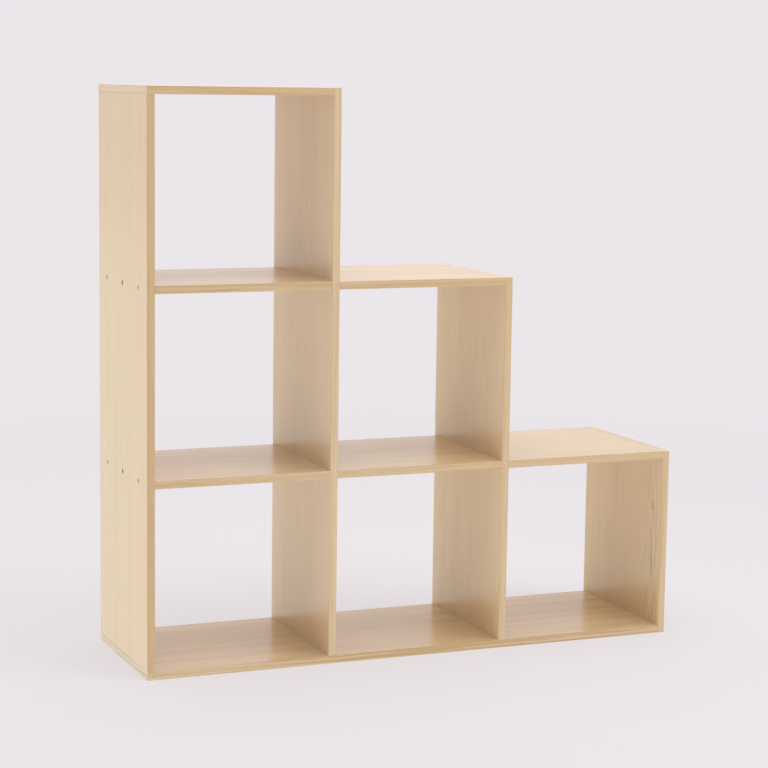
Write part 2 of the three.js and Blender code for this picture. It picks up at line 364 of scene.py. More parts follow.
def printed_resin(name, look, roughness):
    """Wood print under satin resin."""
    material, tree = new_finish(name)
    chart = add_node(tree, "ShaderNodeUVMap", uv_map=GRAIN_MAP)
    lines = lines_of_growth(tree, chart)
    tone = streaks(tree, lines, TONE_LENGTH_MM, look["tone_mm"], 2.0)
    gloss = (roughness - GLOSS_SWING, roughness + GLOSS_SWING)
    pore = streaks(tree, lines, *PORE_MM, 1.0)
    surface = add_node(tree, "ShaderNodeMapRange", [pore, *PORE_SPAN, 1.0, 0.0])
    relief = {"Height": surface, "Distance": PORE_DEPTH_MM * MM, "Strength": PORE_STRENGTH}
    shader = add_node(tree, "ShaderNodeBsdfPrincipled", {
        "Base Color": paint_print(tree, chart, lines, tone, look),
        "Roughness": add_node(tree, "ShaderNodeMapRange", [tone, *NOISE_SPAN, *gloss]),
        "Normal": add_node(tree, "ShaderNodeBump", relief),
        "IOR": RESIN_IOR,
        "Coat Weight": CLEAR_WEIGHT,
        "Coat Roughness": roughness,
        "Coat IOR": CLEAR_IOR,
    })
    add_node(tree, "ShaderNodeOutputMaterial", [shader])
    print(f"{name}: {len(tree.nodes)} nodes, roughness {roughness}")
    return material


# %% Decor foil finish
# Pale and nearly even from afar, because its lines are only a little darker than its tones.
foil_print = {
    "tones": [(0.1, "#D0B383"), (0.5, "#D6BA8D"), (0.9, "#DCC197")],
    "tone_mm": 45.0,
    "growth_mm": 5.5,
    "growth_tint": "#BF9E70",
    "growth_share": 0.10,
    "streak_tint": "#AC8558",
    "streak_share": 0.30,
}
decor_foil = printed_resin("oak_decor_foil", foil_print, roughness=0.25)

# %% [markdown]
# ## The edge band
#
# The narrow edges carry a printed plastic band a millimetre thick, glued on and trimmed. Its
# print is the same oak, but darker, with finer and stronger lines, and that gives the eye a
# warm outline round every cube. With the foil's own finish the outline would be lost.

# %% Edge band finish
band_look = {
    "tones": [(0.1, "#BC9E71"), (0.5, "#C6AA82"), (0.88, "#CFB592"), (1.0, "#DCC49C")],
    "tone_mm": 7.0,
    "growth_mm": 3.6,
    "growth_tint": "#AC8B5D",
    "growth_share": 0.5,
    "streak_tint": "#9A774C",
    "streak_share": 0.35,
}
edge_band_finish = printed_resin("oak_edge_band", band_look, roughness=0.30)

# %% [markdown]
# ## Bare chipboard
#
# Under its foil a board is particle board: softwood chips about 2 mm across, pressed with glue.
# It shows only where a drill has torn it, so it is very rough, and its relief is deep. Noise
# would do, but Voronoi cells look more like chips: pale in the middle and dark at the rim.

# %% Chipboard finish
CHIP_MM = 2.2


def bare_finish(name, pattern, settings, stops, roughness, depth_mm, strength):
    """A bare material, whose one pattern tints it and gives its surface a relief."""
    material, tree = new_finish(name)
    place = add_node(tree, "ShaderNodeTexCoord").outputs["Object"]
    grain = add_node(tree, pattern, {"Vector": place, **settings})
    relief = {"Height": grain, "Distance": depth_mm * MM, "Strength": strength}
    shader = add_node(tree, "ShaderNodeBsdfPrincipled", {
        "Base Color": add_node(tree, "ShaderNodeValToRGB", [grain], stops=stops),
        "Roughness": roughness,
        "Normal": add_node(tree, "ShaderNodeBump", relief),
    })
    add_node(tree, "ShaderNodeOutputMaterial", [shader])
    print(f"{name}: {len(tree.nodes)} nodes, roughness {roughness}")
    return material


chips = {"Scale": 1 / (CHIP_MM * MM)}
chip_tones = [(0.0, "#D6BC8E"), (0.8, "#9C7B4E")]
chipboard = bare_finish(
    "pressed_chipboard", "ShaderNodeTexVoronoi", chips, chip_tones,
    roughness=0.85, depth_mm=0.4, strength=0.6,
)

# %% [markdown]
# ## Beech
#
# The dowels are milled beech without varnish: dense, pinkish brown and matt, with small flecks.
# Cut across, its pores stand open and swallow light, so a dowel's end looks darker than its side
# and gets a finish of its own. Real pores are well under a tenth of a millimetre. They are drawn
# 0.6 mm wide, and show only in a close view.

# %% Beech finishes
FLECK_MM = 0.8
OPEN_PORE_MM = 0.6
flecks = {"Scale": 1 / (FLECK_MM * MM), "Detail": 2.0}
fleck_tones = [(0.35, "#B58A5C"), (0.65, "#D2AD80")]
beech = bare_finish(
    "bare_beech", "ShaderNodeTexNoise", flecks, fleck_tones, roughness=0.7, depth_mm=0.1, strength=0.5
)
pores = {"Scale": 1 / (OPEN_PORE_MM * MM), "Detail": 2.0}
pore_tones = [(0.35, "#A98963"), (0.65, "#C2A37B")]
beech_end = bare_finish(
    "beech_end_grain", "ShaderNodeTexNoise", pores, pore_tones,
    roughness=0.85, depth_mm=0.15, strength=0.6,
)

# %% [markdown]
# ## Zinc plate
#
# The screws are steel, cold formed and zinc plated. Fresh zinc shines, and handling soon clouds
# it in patches a few millimetres wide, which change its tint and its roughness. So it looks
# like dull warm grey metal with soft lights. A metal's IOR stays as Blender has it.

# %% Zinc plate finish
CLOUD_MM = 3.0
ZINC_ROUGHNESS = (0.32, 0.44)
DENT_DEPTH_MM = 0.02
DENT_STRENGTH = 0.4
zinc_tones = [(0.35, "#948971"), (0.65, "#AEA389")]
zinc_plate, tree = new_finish("zinc_plated_steel")
place = add_node(tree, "ShaderNodeTexCoord").outputs["Object"]
clouds = {"Vector": place, "Scale": 1 / (CLOUD_MM * MM), "Detail": 3.0}
wear = add_node(tree, "ShaderNodeTexNoise", clouds)
dents = {"Height": wear, "Distance": DENT_DEPTH_MM * MM, "Strength": DENT_STRENGTH}
shader = add_node(tree, "ShaderNodeBsdfPrincipled", {
    "Base Color": add_node(tree, "ShaderNodeValToRGB", [wear], stops=zinc_tones),
    "Metallic": 1.0,
    "Roughness": add_node(tree, "ShaderNodeMapRange", [wear, *NOISE_SPAN, *ZINC_ROUGHNESS]),
    "Normal": add_node(tree, "ShaderNodeBump", dents),
})
add_node(tree, "ShaderNodeOutputMaterial", [shader])
print(f"{zinc_plate.name}: {len(tree.nodes)} nodes, roughness {ZINC_ROUGHNESS}")

# %% [markdown]
# ## Reading the frame
#
# Each board is a box in the frame. Its thin side tells whether it lies or stands, and an end is
# free where no other board touches it. Typed in, the places could disagree with the frame.

# %% The boards and their free ends
TOUCH = 0.5 * MM
X, Y, Z = 0, 1, 2
FASTENERS = ("screw_", "dowel_")
boards = {n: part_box(n) for n in sorted(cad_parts) if not n.startswith(FASTENERS)}
thickness = min(boards["bottom_panel"][1] - boards["bottom_panel"][0])


def runs_along(name):
    """The axis of a board's grain: up a standing board, sideways in a lying one."""
    low, high = boards[name]
    return Z if high[X] - low[X] < 2 * thickness else X


def end_is_free(name, at_high_end):
    """Whether nothing but the floor or air is past this end."""
    low, high = boards[name]
    along = runs_along(name)
    across = X if along == Z else Z
    end = (high if at_high_end else low)[along]
    middle = (low[across] + high[across]) / 2
    for other, (other_low, other_high) in boards.items():
        facing = (other_low if at_high_end else other_high)[along]
        beside = other_low[across] - TOUCH < middle < other_high[across] + TOUCH
        if other != name and abs(facing - end) < TOUCH and beside:
            return False
    return True


free = {n: [end_is_free(n, False), end_is_free(n, True)] for n in boards}
print("boards:", len(boards), "thickness:", round(thickness / MM, 2), "mm")
print("free ends:", {n: f for n, f in free.items() if any(f)})

# %% [markdown]
# A screw or dowel is a box too, and its long side is its axis. The widest points of a screw are
# on its head, so the end nearer to them is where its axis starts.

# %% The axes of screws and dowels
RIM_SHARE = 0.96


def radius_about(point, middle, along):
    offset = point - middle
    offset[along] = 0
    return offset.length


def axis_line(node):
    """The two ends of a fastener's axis. A screw's head end comes first."""
    low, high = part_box(node)
    size = high - low
    along = max(range(3), key=lambda i: size[i])
    middle = (low + high) / 2
    start, end = middle.copy(), middle.copy()
    start[along] = low[along]
    end[along] = high[along]
    widest = max(size[i] for i in range(3) if i != along) / 2
    points = [v.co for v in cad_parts[node].data.vertices]
    rim = [p[along] for p in points if radius_about(p, middle, along) > RIM_SHARE * widest]
    head_is_high = sum(rim) / len(rim) > middle[along] + TOUCH
    return (end, start) if head_is_high else (start, end)


screws = {n: axis_line(n) for n in sorted(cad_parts) if n.startswith("screw_")}
dowels = {n: axis_line(n) for n in sorted(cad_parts) if n.startswith("dowel_")}
print("screws:", len(screws), "dowels:", len(dowels))

# %% [markdown]
# ## Turned parts
#
# Screw bodies, dowels and the bores that hold them are all turned shapes: a radius at each
# place along an axis. A revolve by hand would do, but a tree repeats it along any number of
# axes: it reads lines of points with a radius each, and sweeps a circle along them. A fluted
# dowel is the same sweep with a notched circle.

# %% The turning tree
NOTCH_EVERY = 3
turning, entry, leave = new_shape_tree("turned_part", {
    "Sides": "Int",
    "Flute depth": "Float",
    "Material": "Material",
})
lines = add_node(turning, "GeometryNodeMeshToCurve", {"Mesh": entry["Geometry"]})
radius = add_node(turning, "GeometryNodeInputNamedAttribute", {"Name": "radius"}, data_type="FLOAT")
sides = {"Resolution": entry["Sides"], "Radius": 1.0}
circle = add_node(turning, "GeometryNodeCurvePrimitiveCircle", sides)
number = add_node(turning, "GeometryNodeInputIndex")
turn = add_node(turning, "ShaderNodeMath", [number, NOTCH_EVERY], operation="MODULO")
groove = add_node(turning, "ShaderNodeMath", [turn, 0.5], operation="LESS_THAN")
notch = add_node(turning, "ShaderNodeMath", [groove, entry["Flute depth"]], operation="MULTIPLY")
kept = add_node(turning, "ShaderNodeMath", [1.0, notch], operation="SUBTRACT")
where = add_node(turning, "GeometryNodeInputPosition")
notched = add_node(turning, "ShaderNodeVectorMath", {0: where, "Scale": kept}, operation="SCALE")
outline = add_node(turning, "GeometryNodeSetPosition", {"Geometry": circle, "Position": notched})
sweep = add_node(turning, "GeometryNodeCurveToMesh", {
    "Curve": lines,
    "Profile Curve": outline,
    "Scale": radius,
    "Fill Caps": True,
})
finish_tree(turning, entry, leave, sweep)

# %% Turning along any axes
ROUND_SIDES = 36


def turn_parts(name, strands, material, sides=ROUND_SIDES, flute_depth=0.0):
    """Turned shapes in one mesh. A strand is (start, end, [(distance, radius), ...])."""
    points, edges, radii = [], [], []
    for start, end, profile in strands:
        direction = (end - start).normalized()
        for i, (distance, radius) in enumerate(profile):
            if i:
                edges.append((len(points) - 1, len(points)))
            points.append(start + direction * distance)
            radii.append(radius)
    mesh = bpy.data.meshes.new(f"{name}_axes")
    mesh.from_pydata(points, edges, [])
    mesh.attributes.new("radius", "FLOAT", "POINT").data.foreach_set("value", radii)
    values = {"Sides": sides, "Flute depth": flute_depth, "Material": material}
    turned = run_tree(name, turning, mesh, values)
    face_outwards(turned.data)
    return turned


# %% [markdown]
# ## Screws
#
# A one-piece connector screw has a countersunk head with a hexagon socket, a smooth shank that
# fills the bore of the board it goes through, and a coarse thread that bites into the end of
# the other board. The thread could be a bump in the material, but a ridge swept along a spiral
# is part of the mesh itself.

# %% Screw sizes
HEAD_SINK = 0.3 * MM
HEAD_RADIUS = 5.0 * MM
HEAD_CHAMFER = 0.3 * MM
HEAD_RIM = 1.0 * MM
SHANK_RADIUS = 3.5 * MM
CORE_RADIUS = 2.5 * MM
TIP_RADIUS = 1.7 * MM
TIP_LENGTH = 5.0 * MM
SHANK_ENTRY = 1.0 * MM
first_head, first_tip = next(iter(screws.values()))
screw_length = (first_tip - first_head).length
shank_end = thickness - HEAD_SINK + SHANK_ENTRY
thread_start = shank_end + SHANK_RADIUS - CORE_RADIUS
screw_profile = [
    (0.0, HEAD_RADIUS - HEAD_CHAMFER),
    (HEAD_CHAMFER, HEAD_RADIUS),
    (HEAD_RIM, HEAD_RADIUS),
    (HEAD_RIM + HEAD_RADIUS - SHANK_RADIUS, SHANK_RADIUS),
    (shank_end, SHANK_RADIUS),
    (thread_start, CORE_RADIUS),
    (screw_length - TIP_LENGTH, CORE_RADIUS),
    (screw_length, TIP_RADIUS),
]
blank = turn_parts("screw_blank", [(Vector(), Vector((0, 0, 1)), screw_profile)], zinc_plate)
print("screw length:", round(screw_length / MM, 2), "mm")

# %% The thread
STEPS_PER_TURN = 28
SOCKET_FLATS = 4.0 * MM
SOCKET_DEPTH = 3.2 * MM
thread_sizes = {
    "Thread start": thread_start,
    "Thread length": screw_length - TIP_LENGTH - thread_start,
    "Pitch": 3.0 * MM,
    "Core radius": CORE_RADIUS,
    "Thread radius": 3.45 * MM,
    "Socket radius": SOCKET_FLATS / 2 / math.cos(math.pi / 6),
    "Socket depth": SOCKET_DEPTH,
}
tree_inputs = {**dict.fromkeys(thread_sizes, "Float"), "Material": "Material"}
threading, entry, leave = new_shape_tree("threaded_screw", tree_inputs)
length_and_pitch = [entry["Thread length"], entry["Pitch"]]
helix = add_node(threading, "GeometryNodeCurveSpiral", {
    "Resolution": STEPS_PER_TURN,
    "Rotations": add_node(threading, "ShaderNodeMath", length_and_pitch, operation="DIVIDE"),
    "Start Radius": entry["Core radius"],
    "End Radius": entry["Core radius"],
    "Height": entry["Thread length"],
})
lift = add_node(threading, "ShaderNodeCombineXYZ", {"Z": entry["Thread start"]})
raised = add_node(threading, "GeometryNodeTransform", {"Geometry": helix, "Translation": lift})
upright = add_node(threading, "GeometryNodeSetCurveNormal", {"Curve": raised}, mode="Z_UP")
radii = [entry["Thread radius"], entry["Core radius"]]
depth = add_node(threading, "ShaderNodeMath", radii, operation="SUBTRACT")
ridge = add_node(threading, "GeometryNodeCurvePrimitiveCircle", {"Resolution": 3, "Radius": depth})
path = {"Curve": upright, "Profile Curve": ridge, "Fill Caps": True}
thread = add_node(threading, "GeometryNodeCurveToMesh", path)

# %% The hexagon socket
# The cutter is centred on the head's face, so it is twice as long as the socket is deep.
both_ways = add_node(threading, "ShaderNodeMath", [entry["Socket depth"], 2.0], operation="MULTIPLY")
hexagon = add_node(threading, "GeometryNodeMeshCylinder", {
    "Vertices": 6,
    "Radius": entry["Socket radius"],
    "Depth": both_ways,
})
cutting = {"Mesh 1": entry["Geometry"], "Mesh 2": hexagon}
socketed = add_node(threading, "GeometryNodeMeshBoolean", cutting, operation="DIFFERENCE", solver="EXACT")
joined = add_node(threading, "GeometryNodeJoinGeometry")
for part in (socketed, thread):
    threading.links.new(part.outputs[0], joined.inputs[0])
finish_tree(threading, entry, leave, joined)
screw = run_tree("screw_pattern", threading, blank.data, {**thread_sizes, "Material": zinc_plate})
face_outwards(screw.data)

# %% Placing the screws
placing, entry, leave = new_shape_tree("placed_along_axes", {"Pattern": "Object", "Material": "Material"})
pattern = add_node(placing, "GeometryNodeObjectInfo", {"Object": entry["Pattern"]})
heading = add_node(
    placing, "GeometryNodeInputNamedAttribute", {"Name": "direction"}, data_type="FLOAT_VECTOR"
)
turned = add_node(placing, "FunctionNodeAlignRotationToVector", {"Vector": heading}, axis="Z")
copies = add_node(placing, "GeometryNodeInstanceOnPoints", {
    "Points": entry["Geometry"],
    "Instance": pattern.outputs["Geometry"],
    "Rotation": turned,
})
finish_tree(placing, entry, leave, copies)


def marked_points(name, points, marks):
    """A mesh of loose points, each with the vectors that a tree reads there."""
    mesh = bpy.data.meshes.new(name)
    mesh.from_pydata(points, [], [])
    for label, vectors in marks.items():
        flat = [part for vector in vectors for part in vector]
        mesh.attributes.new(label, "FLOAT_VECTOR", "POINT").data.foreach_set("vector", flat)
    return mesh


heads = [start for start, _ in screws.values()]
directions = [(end - start).normalized() for start, end in screws.values()]
starts = marked_points("screw_starts", heads, {"direction": directions})
connector_screws = run_tree("connector_screws", placing, starts, {"Pattern": screw, "Material": zinc_plate})
face_outwards(connector_screws.data)
for scrap in (blank, screw):
    bpy.data.objects.remove(scrap)

# %% [markdown]
# ## Dowels
#
# The dowels are beech rods with chamfered ends, grooved so that glue can spread. Loop cuts and
# bevels on a cylinder would do, but the turning tree makes them all at once, with a notch at
# every third point of its circle.

# %% Fluted dowels
CHAMFER = 0.8 * MM
DOWEL_RADIUS = 4.0 * MM
DOWEL_SIDES = 48
FLUTE_SHARE = 0.08


def dowel_strand(start, end):
    length = (end - start).length
    return start, end, [
        (0.0, DOWEL_RADIUS - CHAMFER),
        (CHAMFER, DOWEL_RADIUS),
        (length - CHAMFER, DOWEL_RADIUS),
        (length, DOWEL_RADIUS - CHAMFER),
    ]


strands = [dowel_strand(*line) for line in dowels.values()]
fluted_dowels = turn_parts("fluted_dowels", strands, beech, DOWEL_SIDES, FLUTE_SHARE)
fluted_dowels.data.materials.append(beech_end)
ends = [face for face in fluted_dowels.data.polygons if len(face.vertices) == DOWEL_SIDES]
for face in ends:
    face.material_index = 1
print("dowel ends:", len(ends))

# %% [markdown]
# ## Drilled boards
#
# Each board starts as a sawn panel, smaller than the finished one by its edge bands. The bores
# are turned shapes too, one along each fastener, wide enough to hold it. Boolean modifiers
# could cut them one by one, but one tree cuts all of a board's at once, and their walls keep
# the chipboard finish.

# %% Bores along every fastener
EASE = 0.12 * MM
MOUTH = 0.03 * MM
SPARE_DEPTH = 1.0 * MM
DRILL_POINT = 1.5 * MM
DRILL_TIP_RADIUS = 0.02 * MM
PROBES = (0.02, 0.1, 0.25, 0.5, 0.75, 0.9, 0.98)


def screw_bore(start, end):
    """A countersink, a shank bore and a pilot bore for the core, with a drill point."""
    bottom = (end - start).length + SPARE_DEPTH
    return start, end, [
        (-HEAD_SINK - MOUTH, HEAD_RADIUS + EASE),
        (HEAD_RIM + EASE, HEAD_RADIUS + EASE),
        (HEAD_RIM + HEAD_RADIUS - SHANK_RADIUS + EASE, SHANK_RADIUS + EASE),
        (shank_end + EASE, SHANK_RADIUS + EASE),
        (thread_start + EASE, CORE_RADIUS + EASE),
        (bottom, CORE_RADIUS + EASE),
        (bottom + DRILL_POINT, DRILL_TIP_RADIUS),
    ]


def dowel_bore(start, end):
    """One flat-bottomed bore through both boards."""
    bottom = (end - start).length + SPARE_DEPTH
    return start, end, [(-MOUTH, DOWEL_RADIUS + EASE), (bottom, DOWEL_RADIUS + EASE)]


def sits_in(line, name):
    """Whether a fastener's axis passes into a board."""
    low, high = boards[name]
    points = [line[0] + (line[1] - line[0]) * share for share in PROBES]
    return any(all(low[i] < point[i] < high[i] for i in range(3)) for point in points)


def bores_of(name):
    strands = [screw_bore(*line) for line in screws.values() if sits_in(line, name)]
    return strands + [dowel_bore(*line) for line in dowels.values() if sits_in(line, name)]


print("bores:", {name: len(bores_of(name)) for name in boards})

# %% The drilling tree
drilling, entry, leave = new_shape_tree("drilled_board", {
    "Bores": "Object",
    "Core": "Material",
    "Foil": "Material",
})
bores = add_node(drilling, "GeometryNodeObjectInfo", {"Object": entry["Bores"]})
cutting = {"Mesh 1": entry["Geometry"], "Mesh 2": bores.outputs["Geometry"]}
cut = add_node(drilling, "GeometryNodeMeshBoolean", cutting, operation="DIFFERENCE", solver="EXACT")
real = add_node(drilling, "GeometryNodeRealizeInstances", [cut])
cored = add_node(drilling, "GeometryNodeSetMaterial", {"Geometry": real, "Material": entry["Core"]})
pressed = add_node(drilling, "GeometryNodeInputNamedAttribute", {"Name": "foil"}, data_type="BOOLEAN")
foiled = add_node(drilling, "GeometryNodeSetMaterial", {
    "Geometry": cored,
    "Selection": pressed,
    "Material": entry["Foil"],
})
drilling.links.new(foiled.outputs[0], leave["Geometry"])
print(f"{drilling.name}: {len(drilling.nodes)} nodes")

# %% Sawn panels
BAND = 1.0 * MM
bore_rows = sorted({round(line[0][Y], 6) for line in (*screws.values(), *dowels.values())})


def sawn_panel(name):
    """The panel inside its bands: foil on its broad faces, bare chipboard on its edges.

    An edge runs lengthwise through each row of bores, so that a bore's mouth notches two faces
    and never leaves a hole inside one, which a mesh face can't have.
    """
    low, high = (corner.copy() for corner in boards[name])
    along = runs_along(name)
    low[Y] += BAND
    high[Y] -= BAND
    low[along] += BAND if free[name][0] else 0
    high[along] -= BAND if free[name][1] else 0
    corners = [Vector((x, y, z)) for x in (low.x, high.x) for y in (low.y, high.y) for z in (low.z, high.z)]
    quads = [(0, 1, 3, 2), (4, 6, 7, 5), (0, 4, 5, 1), (2, 3, 7, 6), (0, 2, 6, 4), (1, 5, 7, 3)]
    mesh = bpy.data.meshes.new(name)
    mesh.from_pydata(corners, [], quads)
    panel = bmesh.new()
    panel.from_mesh(mesh)
    for y in bore_rows:
        everything = [*panel.verts, *panel.edges, *panel.faces]
        bmesh.ops.bisect_plane(panel, geom=everything, plane_co=(0, y, 0), plane_no=(0, 1, 0))
    panel.to_mesh(mesh)
    panel.free()
    broad = X if along == Z else Z
    is_broad = [abs(face.normal[broad]) > 0.5 for face in mesh.polygons]
    mesh.attributes.new("foil", "BOOLEAN", "FACE").data.foreach_set("value", is_broad)
    return mesh


print("rows of bores at y =", [round(y / MM, 1) for y in bore_rows], "mm")

# %% [markdown]
# Every broad face takes its own place in the print, so no two show the same lines. The inside of
# the right side panel takes the place with the knot, 252 mm above the floor.

# %% Charting and tuning the print
PRINT_STEP = Vector((1.37, 0.83))
KNOT_ON_BOARD = Vector((252 * MM, -128 * MM))
UPRIGHT_FIGURE = 0.75
SHELF_FIGURE = 1.4
PLAIN_MIDDLE = 0.5
FOIL_FIGURES = {"bottom_panel": 2.0, "left_side_panel": 0.6, "top_panel_right": 0.75}


def set_print(mesh, middles, figures):
    """For each face, the middle of its tones (0 dark, 1 pale) and how strong its figure is."""
    mesh.attributes.new(MIDDLE_TONE, "FLOAT", "FACE").data.foreach_set("value", middles)
    mesh.attributes.new(FIGURE, "FLOAT", "FACE").data.foreach_set("value", figures)


def chart_grain(mesh, along, offsets):
    """A UV map in metres: along the grain and across it, from its own place in the print."""
    chart = mesh.uv_layers.new(name=GRAIN_MAP)
    broad = X if along == Z else Z
    for face in mesh.polygons:
        shift = offsets[0 if face.normal[broad] > 0 else 1]
        for corner in face.loop_indices:
            point = mesh.vertices[mesh.loops[corner].vertex_index].co
            chart.data[corner].uv = (point[along] + shift[0], point[Y] + shift[1])


# %% Drilling and charting every board
pieces = {}
for number, name in enumerate(boards):
    along = runs_along(name)
    bore_shapes = turn_parts(f"{name}_bores", bores_of(name), chipboard)
    board = run_tree(f"{name}_board", drilling, sawn_panel(name), {
        "Bores": bore_shapes,
        "Core": chipboard,
        "Foil": decor_foil,
    })
    bpy.data.objects.remove(bore_shapes)
    face_outwards(board.data)
    first = PRINT_STEP * (2 * number + 1)
    second = KNOT_AT - KNOT_ON_BOARD if name == "right_side_panel" else first + PRINT_STEP
    chart_grain(board.data, along, (first, second))
    figure = FOIL_FIGURES.get(name, UPRIGHT_FIGURE if along == Z else SHELF_FIGURE)
    count = len(board.data.polygons)
    set_print(board.data, [PLAIN_MIDDLE] * count, [figure] * count)
    pieces[name] = board

# %% [markdown]
# ## Edge bands
#
# A band is one section repeated: a strip a millimetre thick, rounded where the trimmer ran
# along it, and as long as the edge it covers. Painted edges would be less work, but the thin
# glue line and the small round catch the light. A tree sets one strip of unit length on a point
# for each edge, turns it and stretches it. The long strips run over the ends of the short ones.

# %% The strip's section
ARRIS = 0.8 * MM
ARRIS_STEPS = 5
GLUE_LINE = 0.08 * MM


def strip_section():
    """Points (across, out), half the board to each side, from the core to the band's face."""
    half = thickness / 2
    points = [(-half + GLUE_LINE, 0.0), (-half, GLUE_LINE)]
    for side in (-1, 1):
        for i in range(ARRIS_STEPS + 1):
            turn = math.pi / 2 * i / ARRIS_STEPS
            turn = turn if side < 0 else math.pi / 2 - turn
            across = side * (half - ARRIS + ARRIS * math.cos(turn))
            points.append((across, BAND - ARRIS + ARRIS * math.sin(turn)))
    return points + [(half, GLUE_LINE), (half - GLUE_LINE, 0.0)]


def unit_strip():
    """One strip from x = 0 to 1 m, its back on y = 0 and its face towards +Y."""
    section = strip_section()
    count = len(section)
    points = [Vector((x, out, across)) for x in (0, 1) for across, out in section]
    faces = [(i, (i + 1) % count, (i + 1) % count + count, i + count) for i in range(count)]
    faces += [tuple(reversed(range(count))), tuple(range(count, 2 * count))]
    mesh = bpy.data.meshes.new("unit_strip")
    mesh.from_pydata(points, [], faces)
    face_outwards(mesh)
    return mesh


strip = bpy.data.objects.new("unit_strip", unit_strip())
bpy.context.scene.collection.objects.link(strip)

# %% Where the strips go
def strips_of(name):
    """(board, start, run, outward) of each band on a board."""
    low, high = boards[name]
    along = runs_along(name)
    middle = (low + high) / 2
    found = []
    for edge, side in ((low, -1), (high, 1)):
        start = middle.copy()
        start[Y] = edge[Y] - side * BAND
        start[along] = low[along]
        run = Vector()
        run[along] = high[along] - low[along]
        found.append((name, start, run, Vector((0, side, 0))))
    for end, side, is_free in zip((low, high), (-1, 1), free[name]):
        if is_free:
            start = middle.copy()
            start[Y] = low[Y] + BAND
            start[along] = end[along] - side * BAND
            run = Vector((0, high[Y] - low[Y] - 2 * BAND, 0))
            outward = Vector()
            outward[along] = side
            found.append((name, start, run, outward))
    return found


strips = [strip_place for name in boards for strip_place in strips_of(name)]
metres = sum(run.length for _, _, run, _ in strips)
print("edge bands:", len(strips), "strips,", round(metres, 2), "m")

# %% The banding tree
banding, entry, leave = new_shape_tree("edge_banding", {"Strip": "Object", "Material": "Material"})
shape = add_node(banding, "GeometryNodeObjectInfo", {"Object": entry["Strip"]})
run, out = (
    add_node(banding, "GeometryNodeInputNamedAttribute", {"Name": label}, data_type="FLOAT_VECTOR")
    for label in ("run", "outward")
)
axes = {"Primary Axis": run, "Secondary Axis": out}
turned = add_node(banding, "FunctionNodeAxesToRotation", axes, primary_axis="X", secondary_axis="Y")
length = add_node(banding, "ShaderNodeVectorMath", [run], operation="LENGTH").outputs["Value"]
stretch = add_node(banding, "ShaderNodeCombineXYZ", [length, 1.0, 1.0])
laid = add_node(banding, "GeometryNodeInstanceOnPoints", {
    "Points": entry["Geometry"],
    "Instance": shape.outputs["Geometry"],
    "Rotation": turned,
    "Scale": stretch,
})
finish_tree(banding, entry, leave, laid)

_, band_starts, band_runs, band_outwards = zip(*strips)
spots = marked_points("strip_spots", band_starts, {"run": band_runs, "outward": band_outwards})
edge_bands = run_tree("edge_bands", banding, spots, {"Strip": strip, "Material": edge_band_finish})
bpy.data.objects.remove(strip)
face_outwards(edge_bands.data, merge=False)

# %% [markdown]
# The band's print runs along each strip, and round its section. Its tone wanders over a roll,
# so some edges are darker than others. The free ends are the palest, upright bands the
# plainest, and the ones along the bottom panel have the strongest lines.

# %% Charting the bands
BAND_MIDDLES = {
    "left_side_panel": 0.27,
    "divider_tall": 0.72,
    "divider_middle": 0.57,
    "shelf_left_upper": 0.35,
    "top_panel_left": 0.42,
    "bottom_panel": 0.45,
}
END_MIDDLE = 0.97
UPRIGHT_BAND_FIGURE = 0.5
BAND_FIGURES = {"bottom_panel": 2.0}
PLAIN_FIGURE = 1.0


def band_print(name, run, outward):
    """The middle tone and the strength of figure on one strip."""
    at_end = abs(outward.y) < 0.5
    upright = abs(run.z) > 0
    middle = END_MIDDLE if at_end else BAND_MIDDLES.get(name, PLAIN_MIDDLE)
    return middle, UPRIGHT_BAND_FIGURE if upright else BAND_FIGURES.get(name, PLAIN_FIGURE)


def chart_bands(mesh):
    """The UV map and the two attributes of every strip, whose faces come one strip at a time."""
    chart = mesh.uv_layers.new(name=GRAIN_MAP)
    faces_each = len(mesh.polygons) // len(strips)
    prints = []
    for face in mesh.polygons:
        number = face.index // faces_each
        name, start, run, outward = strips[number]
        prints.append(band_print(name, run, outward))
        side = run.cross(outward).normalized()
        shift = PRINT_STEP * (number + 1)
        for corner in face.loop_indices:
            offset = mesh.vertices[mesh.loops[corner].vertex_index].co - start
            u = offset.dot(run.normalized())
            v = offset.dot(side) + offset.dot(outward)
            chart.data[corner].uv = (u + shift.x, v + shift.y)
    set_print(mesh, *zip(*prints))
    print("faces on each strip:", faces_each)


chart_bands(edge_bands.data)

# %% [markdown]
# ## Riding on the frame
#
# Nothing on this bookshelf moves, so the frame has one body, root. Every piece rides on it, and
# the imported nodes it stands for are hidden.

# %% Ride, and hide the imported nodes
for name, board in pieces.items():
    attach(board, "root")
    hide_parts(name)
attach(edge_bands, "root")
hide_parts(*boards)
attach(connector_screws, "root")
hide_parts(*screws)
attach(fluted_dowels, "root")
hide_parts(*dowels)
print("pieces:", [*pieces, edge_bands.name, connector_screws.name, fluted_dowels.name])

# %% [markdown]
# ## Ground
#
# The bookshelf stands on a pale studio floor without a horizon. A floor that is simply lit would
# end in a visible edge. This one is lit too, and catches the bookshelf's shadow, but most of
# what the camera sees of it is the ground's own colour, and past a few metres all of it is.
# Gloss and glass see plain white there. To every other ray the floor is grey with a steady
# glow, which sends even light up into the cubes, as a large bright floor does.

# %% The floor
GROUND = "#EBE6EA"
WHITE = linear("#FFFFFF")
FLOOR_HALF = 12.0
rim = [(x * FLOOR_HALF, y * FLOOR_HALF, 0) for x, y in ((-1, -1), (1, -1), (1, 1), (-1, 1))]
floor_mesh = bpy.data.meshes.new("floor")
floor_mesh.from_pydata(rim, [], [(0, 1, 2, 3)])
floor = bpy.data.objects.new("floor", floor_mesh)
bpy.context.scene.collection.objects.link(floor)
print("floor:", 2 * FLOOR_HALF, "m wide")

